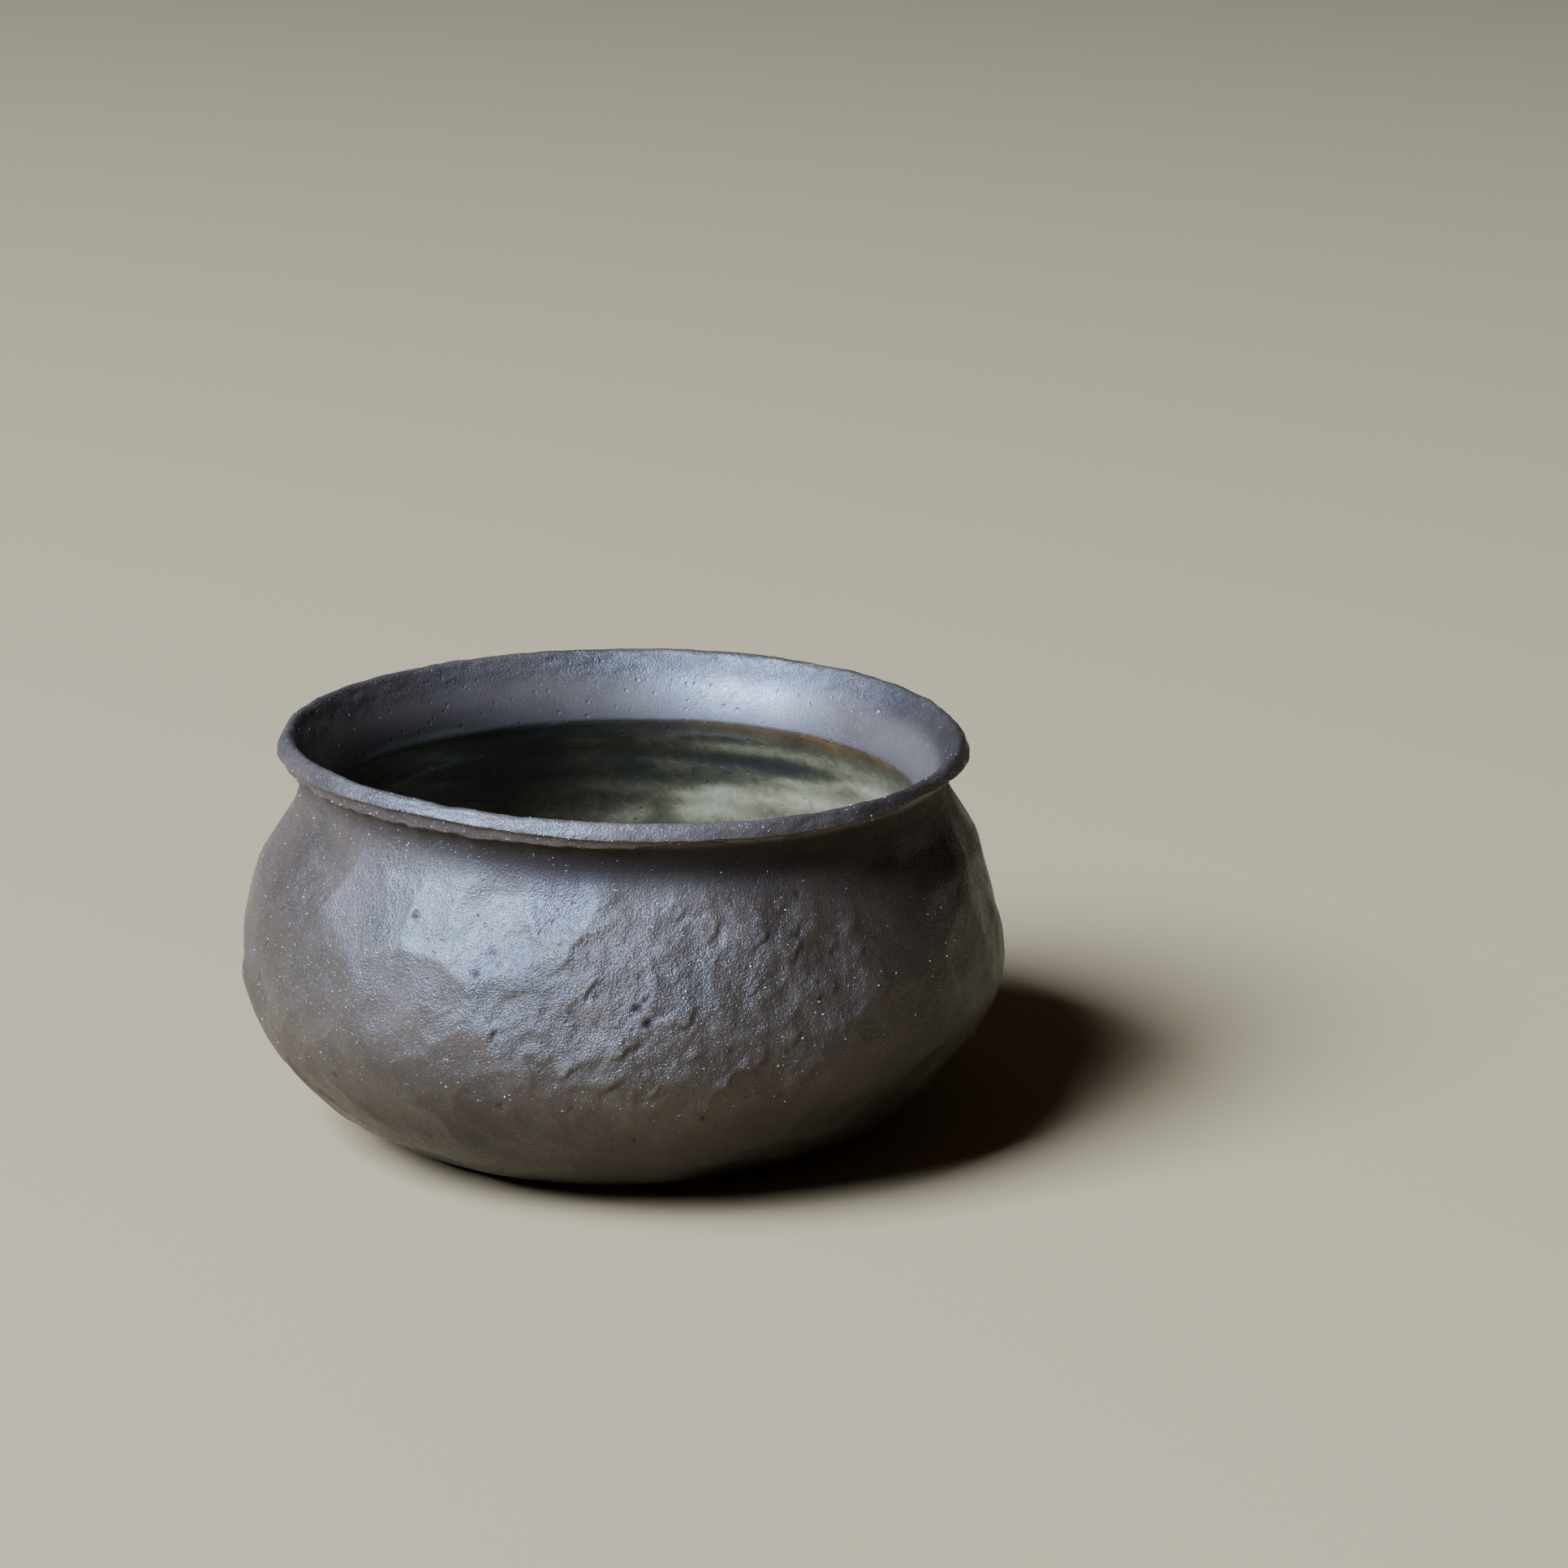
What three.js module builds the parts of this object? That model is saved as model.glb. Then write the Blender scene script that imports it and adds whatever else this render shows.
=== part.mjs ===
// Hand-built stoneware tea bowl: a squat round belly drawn in to a neck, with a
// short flared lip. Millimetres, +Z up, the bowl stands on z = 0.
//
// The pot is four lumps of work: the patted base slab, the paddled belly wall, the
// lip band luted on top and folded outwards, and the glaze poured inside. Each one
// is a closed section turned about the axis and then pushed slightly out of true.
import * as THREE from 'three';

// ---- driving dimensions -------------------------------------------------------
const FOOT_RADIUS = 30; // outer edge of the flat ring the bowl stands on
const HOLLOW_RADIUS = 19; // hollow pressed into the underside, inside that ring
const HOLLOW_DEPTH = 1.6;
const BELLY_RADIUS = 60.2; // widest part, outside
const BELLY_HEIGHT = 27.8; // height of the widest part
const NECK_RADIUS = 50; // crease between belly and lip, outside
const NECK_HEIGHT = 54.8;
const LIP_RADIUS = 53.9; // widest part of the lip
const LIP_HEIGHT = 60.9;
const CREST_RADIUS = 52.4; // top of the rim
const CREST_HEIGHT = 62.6;
const RIM_INNER_RADIUS = 51.2; // where the rim turns down into the mouth
const FOLD_HEIGHT = 59.2; // lower edge of the folded lip, above the crease

const WALL = 4.8; // thickness of the belly wall
const FLOOR_HEIGHT = 5.2; // top of the clay floor
const FLOOR_RADIUS = 26; // flat part of the clay floor
const THROAT_RADIUS = 45.9; // narrowest part inside
const THROAT_HEIGHT = 52; // a little below the crease outside
const LIP_BOW = 0.5; // how far the inside of the lip curves away from straight
const SLAB_EDGE_HEIGHT = 1.2; // where the wall was joined to the slab, outside
const SLAB_TOP_RADIUS = 33; // and inside
const GLAZE = 0.5; // thickness of the glaze coat
const GLAZE_HEIGHT = 51.9; // top edge of the glaze coat, just under the throat
const GAP = 0.3; // clearance between neighbouring pieces

const FOOT_POWER = 1.74; // how square the curve from foot to belly is
const SHOULDER_POWER = 1.79; // how late the shoulder turns in to the neck

const NECK_LEAN = 0.8; // the neck and lip sit this far towards +X
const RIM_TILT = 1; // the rim rises this much towards -X
const RIM_TWIST = 0.5; // two high and two low places in the rim
const OVALITY = 0.3; // belly slightly wider front to back
const FOLD_SAG = 1; // the fold hangs lower on the -X side

const SEGMENTS = 60; // divisions around the bowl
const BELLY_STEPS = 9; // divisions of each long curve

// ---- shape of the sides ---------------------------------------------------------
// One side of the pot, outside or inside, is described by where it leaves the floor,
// its belly radius and its neck radius.
const outside = {
  footRadius: FOOT_RADIUS,
  footHeight: 0,
  belly: BELLY_RADIUS,
  neck: NECK_RADIUS,
  neckHeight: NECK_HEIGHT,
};
const inside = {
  footRadius: FLOOR_RADIUS,
  footHeight: FLOOR_HEIGHT,
  belly: BELLY_RADIUS - WALL,
  neck: THROAT_RADIUS,
  neckHeight: THROAT_HEIGHT,
};

function inset(side, distance) {
  return {
    footRadius: side.footRadius - distance,
    footHeight: side.footHeight + distance,
    belly: side.belly - distance,
    neck: side.neck - distance,
    neckHeight: side.neckHeight,
  };
}

function sideRadius(side, height) {
  if (height < BELLY_HEIGHT) {
    const below = (BELLY_HEIGHT - height) / (BELLY_HEIGHT - side.footHeight);
    const swell = (1 - Math.min(1, below) ** FOOT_POWER) ** (1 / FOOT_POWER);
    return side.footRadius + (side.belly - side.footRadius) * swell;
  }
  const above = (height - BELLY_HEIGHT) / (side.neckHeight - BELLY_HEIGHT);
  return side.belly - (side.belly - side.neck) * above ** SHOULDER_POWER;
}

// Points up one side between two heights, closer together near the foot.
function sidePoints(side, fromHeight, toHeight) {
  const points = [];
  for (let i = 0; i <= BELLY_STEPS; i += 1) {
    const height = fromHeight + (BELLY_HEIGHT - fromHeight) * (i / BELLY_STEPS) ** 1.6;
    points.push([sideRadius(side, height), height]);
  }
  const upperSteps = BELLY_STEPS - 2;
  for (let i = 1; i <= upperSteps; i += 1) {
    const height = BELLY_HEIGHT + ((toHeight - BELLY_HEIGHT) * i) / upperSteps;
    points.push([sideRadius(side, height), height]);
  }
  return points;
}

// Points along a quarter of an ellipse, end points left out.
function turnPoints(from, to, steps) {
  const points = [];
  for (let i = 1; i < steps; i += 1) {
    const turn = (i / steps) * (Math.PI / 2);
    points.push([
      to[0] + (from[0] - to[0]) * Math.cos(turn),
      from[1] + (to[1] - from[1]) * Math.sin(turn),
    ]);
  }
  return points;
}

// ---- the maker's hand -----------------------------------------------------------
// Everything is turned true first; this moves each point to where the hand left it.
// Nothing moves at z = 0, so the resting ring stays flat.
function handShaped(radius, angle, height) {
  const towardNeck = THREE.MathUtils.clamp((height - BELLY_HEIGHT) / (NECK_HEIGHT - BELLY_HEIGHT), 0, 1);
  const towardRim = (height / CREST_HEIGHT) ** 3;
  const oval = -OVALITY * Math.cos(2 * angle) * THREE.MathUtils.clamp(height / BELLY_HEIGHT, 0, 1);
  const lift = RIM_TWIST * Math.sin(2 * angle) - RIM_TILT * Math.cos(angle);
  return new THREE.Vector3(
    (radius + oval * (radius / BELLY_RADIUS)) * Math.cos(angle) + NECK_LEAN * towardNeck,
    (radius + oval * (radius / BELLY_RADIUS)) * Math.sin(angle),
    height + lift * towardRim,
  );
}

// Turns a section about the axis. `adjust` may move single section points with angle.
function turned(name, section, finish, adjust = (radius, height) => [radius, height]) {
  const profile = section.map(([radius, height]) => new THREE.Vector2(Math.max(radius, 0), height));
  const geometry = new THREE.LatheGeometry(profile, SEGMENTS);
  geometry.rotateX(Math.PI / 2);
  const position = geometry.getAttribute('position');
  for (let i = 0; i < position.count; i += 1) {
    const column = Math.floor(i / profile.length) % SEGMENTS;
    const angle = (column / SEGMENTS) * 2 * Math.PI;
    const { x, y } = profile[i % profile.length];
    const [radius, height] = adjust(x, y, angle);
    const place = handShaped(radius, angle, height);
    if (radius === 0) place.setX(0).setY(0);
    position.setXYZ(i, place.x, place.y, place.z);
  }
  geometry.computeVertexNormals();
  const mesh = new THREE.Mesh(geometry, new THREE.MeshStandardMaterial(finish));
  mesh.name = name;
  return mesh;
}

// ---- pieces ---------------------------------------------------------------------
// Disc of clay with a shallow hollow below; the wall joins its sloping edge.
function baseSlab() {
  const edgeRadius = sideRadius(outside, SLAB_EDGE_HEIGHT);
  const edgeStep = (edgeRadius - FOOT_RADIUS) / 3;
  const section = [
    [0, HOLLOW_DEPTH],
    [HOLLOW_RADIUS * 0.7, HOLLOW_DEPTH * 0.9],
    [HOLLOW_RADIUS, HOLLOW_DEPTH * 0.45],
    [HOLLOW_RADIUS + 3, 0],
    [FOOT_RADIUS, 0],
    [FOOT_RADIUS + edgeStep, SLAB_EDGE_HEIGHT * 0.15],
    [FOOT_RADIUS + 2 * edgeStep, SLAB_EDGE_HEIGHT * 0.5],
    [edgeRadius, SLAB_EDGE_HEIGHT],
    [SLAB_TOP_RADIUS, sideTop(SLAB_TOP_RADIUS)],
    [FLOOR_RADIUS, FLOOR_HEIGHT],
    [0, FLOOR_HEIGHT],
  ];
  return turned('base_slab', section, { color: 0x3b332d, roughness: 0.75, metalness: 0 });
}

// Height of the inside clay surface at a radius on the floor curve.
function sideTop(radius) {
  const swell = (radius - inside.footRadius) / (inside.belly - inside.footRadius);
  const below = (1 - swell ** FOOT_POWER) ** (1 / FOOT_POWER);
  return BELLY_HEIGHT - below * (BELLY_HEIGHT - inside.footHeight);
}

// Coiled and paddled wall from the slab to the neck. Its top slopes from the crease
// outside down to the throat inside, where the lip was luted on.
function bowlWall() {
  const outer = sidePoints(outside, SLAB_EDGE_HEIGHT + GAP, NECK_HEIGHT);
  const jointRadius = SLAB_TOP_RADIUS + GAP;
  const inner = sidePoints(inside, sideTop(jointRadius), THROAT_HEIGHT).reverse();
  const section = [...outer, ...inner, outer[0]];
  return turned('bowl_wall', section, { color: 0x57504e, roughness: 0.5, metalness: 0 });
}

// Points on a line that bows sideways, away from the axis, end points left out.
function bowedPoints(from, to, bow, steps) {
  const points = [];
  for (let i = 1; i < steps; i += 1) {
    const along = i / steps;
    const radius = from[0] + (to[0] - from[0]) * along - bow * Math.sin(Math.PI * along);
    points.push([radius, from[1] + (to[1] - from[1]) * along]);
  }
  return points;
}

// Last coil: rises from the crease, flares, and is folded over so that its lower
// edge overhangs the neck.
function lipBand() {
  const joint = GAP * 1.2; // the joint slopes, so it is a little wider straight up
  const crease = [NECK_RADIUS, NECK_HEIGHT + joint];
  const foldEdge = [LIP_RADIUS - 0.2, FOLD_HEIGHT];
  const widest = [LIP_RADIUS, LIP_HEIGHT];
  const crest = [CREST_RADIUS, CREST_HEIGHT];
  const rimInner = [RIM_INNER_RADIUS, CREST_HEIGHT - 0.5];
  const throat = [THROAT_RADIUS, THROAT_HEIGHT + joint];
  const section = [
    crease,
    [NECK_RADIUS + 1.2, NECK_HEIGHT + joint + 1.4],
    [LIP_RADIUS - 1.2, FOLD_HEIGHT - 0.6],
    foldEdge,
    widest,
    ...turnPoints(widest, crest, 3),
    crest,
    rimInner,
    ...bowedPoints(rimInner, throat, LIP_BOW, 5),
    throat,
    crease,
  ];
  const sag = (radius, height, angle) => {
    const onFold = radius > NECK_RADIUS + 1.5 && height <= FOLD_HEIGHT;
    return [radius, onFold ? height - FOLD_SAG * (0.5 - 0.5 * Math.cos(angle)) : height];
  };
  return turned('lip_band', section, { color: 0x6a6463, roughness: 0.5, metalness: 0 }, sag);
}

// Thin glassy coat on the inside of the slab and wall, up to just below the neck.
function interiorGlaze() {
  const back = inset(inside, GAP);
  const face = inset(inside, GAP + GLAZE);
  const under = sidePoints(back, back.footHeight, GLAZE_HEIGHT);
  const over = sidePoints(face, face.footHeight, GLAZE_HEIGHT).reverse();
  const section = [[0, back.footHeight], ...under, ...over, [0, face.footHeight]];
  return turned('interior_glaze', section, { color: 0x5c5c48, roughness: 0.2, metalness: 0 });
}

const bowl = new THREE.Group();
bowl.name = 'matcha_bowl';
bowl.add(baseSlab(), bowlWall(), lipBand(), interiorGlaze());

export default bowl;
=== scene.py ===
"""Looks of a hand-built stoneware tea bowl: paddled clay outside, mottled ash glaze inside.

The whole skin of the bowl is laid out once as a grid of rows (along its section) and
columns (around it), marked by the maker's tools, and then cut into its four pieces.
Lengths are millimetres until a mesh is made, and metres from there on.
"""
import math
from itertools import product

import bpy
import numpy as np
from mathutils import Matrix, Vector


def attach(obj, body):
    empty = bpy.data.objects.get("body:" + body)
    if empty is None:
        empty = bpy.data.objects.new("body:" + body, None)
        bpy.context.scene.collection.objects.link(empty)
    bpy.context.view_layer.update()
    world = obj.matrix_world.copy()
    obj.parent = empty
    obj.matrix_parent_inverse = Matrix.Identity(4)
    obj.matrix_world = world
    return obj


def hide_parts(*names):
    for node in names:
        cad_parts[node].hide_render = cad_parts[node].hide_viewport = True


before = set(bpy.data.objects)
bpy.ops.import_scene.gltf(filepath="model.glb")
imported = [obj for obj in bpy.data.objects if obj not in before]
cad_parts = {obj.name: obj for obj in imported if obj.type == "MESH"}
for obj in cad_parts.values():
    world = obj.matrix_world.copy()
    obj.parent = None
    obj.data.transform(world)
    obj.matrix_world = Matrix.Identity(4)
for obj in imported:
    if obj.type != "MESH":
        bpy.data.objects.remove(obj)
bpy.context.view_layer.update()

MM = 0.001
rng = np.random.default_rng(11)

# ---- driving dimensions, the same as the solid model's ---------------------------
FOOT_RADIUS = 30.0
HOLLOW_RADIUS = 19.0
HOLLOW_DEPTH = 1.6
BELLY_RADIUS = 60.2
BELLY_HEIGHT = 27.8
NECK_RADIUS = 50.0
NECK_HEIGHT = 54.8
LIP_RADIUS = 53.9
CREST_RADIUS = 52.4
CREST_HEIGHT = 62.6
RIM_INNER_RADIUS = 51.2
FOLD_HEIGHT = 59.2
WALL = 4.8
FLOOR_HEIGHT = 5.2
FLOOR_RADIUS = 26.0
THROAT_RADIUS = 45.9
THROAT_HEIGHT = 52.0
LIP_BOW = 0.5
SLAB_EDGE_HEIGHT = 1.2
SLAB_TOP_RADIUS = 33.0
GLAZE = 0.5
GLAZE_HEIGHT = 51.9
GAP = 0.3
FOOT_POWER = 1.74
SHOULDER_POWER = 1.79
NECK_LEAN = 0.8
RIM_TILT = 1.0
RIM_TWIST = 0.5
OVALITY = 0.3
FOLD_SAG = 1.0

# ---- the grid --------------------------------------------------------------------
COLUMNS = 640
FRONT = -math.pi / 2  # columns crowd together here, where the paddling is roughest
FRONT_CROWDING = 0.38
UNDER_ROWS = 32  # from the axis to the outer edge of the resting ring
EDGE_ROWS = 12  # round the turn from the ring to the wall
LOW_WALL_ROWS = 30  # up to LOW_WALL_HEIGHT, where the wall still leans out
WALL_ROWS = 100  # from there to the neck crease
LOW_WALL_HEIGHT = 11.0
FLARE_ROWS = 26
GLAZE_ROWS = 96
GLAZE_FLOOR_ROWS = 30
HIDDEN_ROWS = 12

STREAKED = (1.0, 1.0, 3.5)  # noise read at points times this is squeezed into level streaks
RIM_TURN = (RIM_INNER_RADIUS - 0.25, CREST_HEIGHT - 1.1)  # where the rounded rim becomes the flare
OUTSIDE = dict(foot=FOOT_RADIUS, low=0.0, belly=BELLY_RADIUS, neck=NECK_RADIUS, high=NECK_HEIGHT)
INSIDE = dict(
    foot=FLOOR_RADIUS, low=FLOOR_HEIGHT, belly=BELLY_RADIUS - WALL, neck=THROAT_RADIUS, high=THROAT_HEIGHT
)


# ---- noise -----------------------------------------------------------------------
def scrambled(cells, seed):
    """Three numbers in -1..1 for each whole-number cell, the same every time."""
    mixed = cells[..., 0] * 73856093 ^ cells[..., 1] * 19349663 ^ cells[..., 2] * 83492791 ^ seed * 2654435
    parts = []
    for step in (0x9E3779B1, 0x85EBCA6B, 0xC2B2AE35):
        value = (mixed * step) & 0xFFFFFFFF
        value ^= value >> 15
        value = (value * 0x2C1B3C6D) & 0xFFFFFFFF
        value ^= value >> 12
        parts.append((value & 0xFFFF) / 32767.5 - 1.0)
    return np.stack(parts, axis=-1)


def noise(points, scale, seed):
    """Smooth gradient noise, about -1..1. scale is the size of a feature, one number or one per axis."""
    place = points / np.asarray(scale, float)
    cell = np.floor(place).astype(np.int64)
    part = place - cell
    fade = part**3 * (part * (part * 6 - 15) + 10)
    total = np.zeros(place.shape[:-1])
    for corner in product((0, 1), repeat=3):
        corner = np.array(corner)
        slope = scrambled(cell + corner, seed)
        share = np.prod(np.where(corner, fade, 1 - fade), axis=-1)
        total += share * np.sum(slope * (part - corner), axis=-1)
    return total * 1.4


def layered(points, scale, seed, layers=3):
    """Noise with finer and weaker noise on top."""
    total = np.zeros(points.shape[:-1])
    for i in range(layers):
        total += noise(points, np.asarray(scale, float) / 2**i, seed + 17 * i) / 2**i
    return total


def smooth_step(value, start, end):
    t = np.clip((value - start) / (end - start), 0, 1)
    return t * t * (3 - 2 * t)


def angle_from(angle, centre):
    """Signed distance around the bowl, in radians, -pi..pi."""
    return (angle - centre + math.pi) % (2 * math.pi) - math.pi


# ---- the true shape ----------------------------------------------------------------
def side_radius(side, height):
    below = np.clip((BELLY_HEIGHT - height) / (BELLY_HEIGHT - side["low"]), 0, 1)
    swell = (1 - below**FOOT_POWER) ** (1 / FOOT_POWER)
    above = np.clip((height - BELLY_HEIGHT) / (side["high"] - BELLY_HEIGHT), 0, None)
    lower = side["foot"] + (side["belly"] - side["foot"]) * swell
    return lower - (side["belly"] - side["neck"]) * above**SHOULDER_POWER


def side_height(side, radius):
    """Height of the lower half of a side at a radius."""
    swell = np.clip((radius - side["foot"]) / (side["belly"] - side["foot"]), 0, 1)
    below = (1 - swell**FOOT_POWER) ** (1 / FOOT_POWER)
    return BELLY_HEIGHT - below * (BELLY_HEIGHT - side["low"])


def inset(side, distance):
    moved = dict(side)
    for key, sign in (("foot", -1), ("belly", -1), ("neck", -1), ("low", 1)):
        moved[key] = side[key] + sign * distance
    return moved


def evenly(points, count):
    """The same line with its points the same distance apart. points is (n, 2)."""
    steps = np.hypot(*np.diff(points, axis=0).T)
    along = np.concatenate([[0], np.cumsum(steps)])
    wanted = np.linspace(0, along[-1], count)
    return np.stack([np.interp(wanted, along, points[:, k]) for k in (0, 1)], axis=1)


def side_line(side, start, end, count):
    """Points up a side between two heights, as (radius, height)."""
    share = np.linspace(0, 1, 600)
    leaves_floor = start < side["low"] + 6  # nearly level there, so many more heights are needed
    heights = start + (end - start) * (share**2 if leaves_floor else share)
    return evenly(np.stack([side_radius(side, heights), heights], axis=1), count)


def corner_cut(line, rounds):
    """Chaikin's smoothing of a line of points; its ends stay. line is (n, columns, 2)."""
    for _ in range(rounds):
        first = 0.75 * line[:-1] + 0.25 * line[1:]
        second = 0.25 * line[:-1] + 0.75 * line[1:]
        inner = np.stack([first, second], axis=1).reshape(-1, *line.shape[1:])
        line = np.concatenate([line[:1], inner[1:-1], line[-1:]])
    return line


def hand_shaped(radius, angle, height):
    """Where the maker's hand left a point that was true. Nothing moves at height 0."""
    toward_neck = smooth_step(height, BELLY_HEIGHT - 4, NECK_HEIGHT + 2)
    toward_rim = (height / CREST_HEIGHT) ** 3
    oval = -OVALITY * np.cos(2 * angle) * np.clip(height / BELLY_HEIGHT, 0, 1) * radius / BELLY_RADIUS
    lift = RIM_TWIST * np.sin(2 * angle) - RIM_TILT * np.cos(angle)
    x = (radius + oval) * np.cos(angle) + NECK_LEAN * toward_neck
    y = (radius + oval) * np.sin(angle)
    return np.stack([x, y, height + lift * toward_rim], axis=-1)


def facing(points):
    """Unit normals of a grid of points, rows along the section and columns around."""
    around = np.roll(points, -1, axis=1) - np.roll(points, 1, axis=1)
    along = np.gradient(points, axis=0)
    normal = np.cross(around, along)
    length = np.linalg.norm(normal, axis=-1, keepdims=True)
    return normal / np.maximum(length, 1e-9)


# ---- section rows, from the middle of the underside to the middle of the floor -----
def column_angles():
    """The angle of every column, closer together at the front."""
    even = np.arange(COLUMNS) * (2 * math.pi / COLUMNS)
    return FRONT + even - FRONT_CROWDING * np.sin(even)


ANGLE = column_angles()
AROUND = np.stack([np.cos(ANGLE), np.sin(ANGLE), np.zeros(COLUMNS)], axis=-1) * BELLY_RADIUS


def all_round(line):
    """A section line (n, 2) repeated for every column."""
    return np.repeat(line[:, None, :], COLUMNS, axis=1)


def underside_rows():
    """Hollow, resting ring and the first of the curve up to the wall."""
    radius = np.linspace(0, FOOT_RADIUS, UNDER_ROWS)
    height = HOLLOW_DEPTH * (1 - smooth_step(radius, HOLLOW_RADIUS - 9, HOLLOW_RADIUS + 3))
    edge_height = np.linspace(0, 1, EDGE_ROWS + 1)[1:] ** 2 * SLAB_EDGE_HEIGHT
    under = np.stack([radius, height], axis=1)
    edge = np.stack([side_radius(OUTSIDE, edge_height), edge_height], axis=1)
    return all_round(np.concatenate([under, edge]))


def wall_rows():
    """The paddled outside, from the slab to the neck crease."""
    low = side_line(OUTSIDE, SLAB_EDGE_HEIGHT, LOW_WALL_HEIGHT, LOW_WALL_ROWS)
    high = side_line(OUTSIDE, LOW_WALL_HEIGHT, NECK_HEIGHT, WALL_ROWS)
    return all_round(np.concatenate([low, high[1:]]))


def around_bump(centre, half_width, flat=0.0):
    """For every column: 1 within flat degrees of an angle, fading smoothly to 0 at half_width."""
    away = np.degrees(np.abs(angle_from(ANGLE, math.radians(centre))))
    return smooth_step(-away, -half_width, -flat)


def flap_amount():
    """1 where the folded clay shows a torn second edge, 0 where it was wiped away."""
    elsewhere = smooth_step(noise(AROUND, 22, 5), 0.1, 0.35)
    return np.maximum(around_bump(-128, 52, 38), 0.7 * elsewhere)


def lip_rows():
    """From the neck crease under the torn edge of the fold, over the rim, down to the glaze."""
    wander = 0.25 * noise(AROUND, 16, 21) + 0.1 * noise(AROUND, 4, 22)
    narrow = around_bump(-32, 30)
    tear = 0.35 * noise(AROUND, 1.9, 23) + 0.45 * layered(AROUND, 5.0, 24)
    flap = flap_amount()
    sag = FOLD_SAG * (0.5 - 0.5 * np.cos(ANGLE))
    pulled_up = around_bump(-125, 42)
    fold = FOLD_HEIGHT + 1.25 - 0.25 * sag + 0.6 * narrow + 0.75 * pulled_up + wander
    torn_edge = fold - 0.35 - (0.8 + 0.8 * pulled_up + 0.6 * tear) * flap - 0.35 * sag
    widest = LIP_RADIUS - 0.25 * narrow + 0.15 * noise(AROUND, 20, 25)
    steps = [
        # up the hollow under the lip
        (NECK_RADIUS, NECK_HEIGHT),
        (NECK_RADIUS + 0.3, NECK_HEIGHT + 0.8),
        (NECK_RADIUS + 1.0, 0.45 * NECK_HEIGHT + 0.55 * torn_edge),
        # the torn edge of the folded clay, and the step behind it
        (widest - 2.0, torn_edge - 0.25),
        (widest - 1.3, torn_edge - 0.12),
        (widest - 1.05, torn_edge),
        (widest - 0.95, torn_edge + 0.2),
        # the fold itself, the widest part of the lip
        (widest - 0.6, fold - 0.25),
        (widest - 0.2, fold - 0.12),
        (widest, fold),
        (widest, fold + 0.12),
        (widest - 0.3, 0.6 * fold + 0.4 * CREST_HEIGHT),
        # over the rim
        (CREST_RADIUS + 0.75, CREST_HEIGHT - 0.55),
        (CREST_RADIUS + 0.35, CREST_HEIGHT - 0.12),
        (CREST_RADIUS - 0.1, CREST_HEIGHT + 0.08),
        (RIM_INNER_RADIUS + 0.55, CREST_HEIGHT - 0.08),
        (RIM_INNER_RADIUS + 0.1, CREST_HEIGHT - 0.5),
        RIM_TURN,
    ]
    line = np.stack([np.stack(np.broadcast_arrays(r, h, ANGLE)[:2], axis=-1) for r, h in steps])
    rim = corner_cut(line.astype(float), 2)
    down = np.linspace(0, 1, FLARE_ROWS)[1:, None]
    height = RIM_TURN[1] + (glaze_edge() - RIM_TURN[1]) * down
    return np.concatenate([rim, np.stack([inner_radius(height), height], axis=-1)])


def inner_radius(height):
    """Inside of the bare clay: the belly up to the throat, then the flare of the lip."""
    up = np.clip((height - THROAT_HEIGHT) / (RIM_TURN[1] - THROAT_HEIGHT), 0, 1)
    flare = THROAT_RADIUS + (RIM_TURN[0] - THROAT_RADIUS) * up - LIP_BOW * np.sin(math.pi * up)
    return np.where(height > THROAT_HEIGHT, flare, side_radius(INSIDE, np.minimum(height, THROAT_HEIGHT)))


def glaze_edge():
    """Height of the top edge of the glaze; where it was swirled out it climbs up the flare."""
    climb = 1.2 * around_bump(145, 34)
    return GLAZE_HEIGHT + 0.3 + climb + 0.35 * layered(AROUND, 16, 31) + 0.12 * noise(AROUND, 3, 32)


def glaze_rows():
    """Inner face of the glaze from its rolled edge to the middle of the floor."""
    face = inset(INSIDE, GAP + GLAZE)
    rows = all_round(side_line(face, face["low"], GLAZE_HEIGHT, GLAZE_ROWS)[::-1])
    edge = glaze_edge()
    rows[..., 1] += smooth_step(rows[..., 1], BELLY_HEIGHT, GLAZE_HEIGHT) * (edge - GLAZE_HEIGHT)
    high = rows[..., 1] > BELLY_HEIGHT
    rows[..., 0] = np.where(high, inner_radius(rows[..., 1]) - GAP - GLAZE, side_radius(face, rows[..., 1]))
    rows[..., 0] += (GAP + GLAZE) * smooth_step(rows[..., 1] - edge, -3.5, 0.3)
    floor_radius = np.linspace(face["foot"], 0, GLAZE_FLOOR_ROWS)[1:]
    floor = np.stack([floor_radius, np.full_like(floor_radius, face["low"])], axis=1)
    return np.concatenate([rows, all_round(floor)])


# ---- marks of making ---------------------------------------------------------------
def on_outside(rows):
    """1 on the paddled wall, fading to 0 at the foot and the neck crease."""
    height = rows[..., 1]
    return smooth_step(height, 0.5, 5) * smooth_step(-height, -NECK_HEIGHT + 0.3, -NECK_HEIGHT + 4)


ROUGH_ANGLE, ROUGH_HALF_WIDTH = math.radians(-78), math.radians(36)
ROUGH_HEIGHT, ROUGH_HALF_HEIGHT = 34, 18


def rough_zone(angle, height):
    """1 where the clay dragged and tore under the paddle, at the front towards the right."""
    around = angle_from(angle, ROUGH_ANGLE) / ROUGH_HALF_WIDTH
    up = (height - ROUGH_HEIGHT) / ROUGH_HALF_HEIGHT
    return smooth_step(-np.hypot(around, up), -1.25, -0.5)


RING_SPACING = 6.0  # the paddle went round the bowl in rings this far apart
STRIKE_SPACING = 12  # and moved on this far between two strikes
SMALL_STRIKES = 110  # with the edge of the paddle, all at the front
STRIKE_WOBBLE = 0.05  # how far the face of the paddle strayed from square
WORN_ANGLE = math.radians(-165)  # the left, where the edges of the strikes are worn soft
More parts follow.
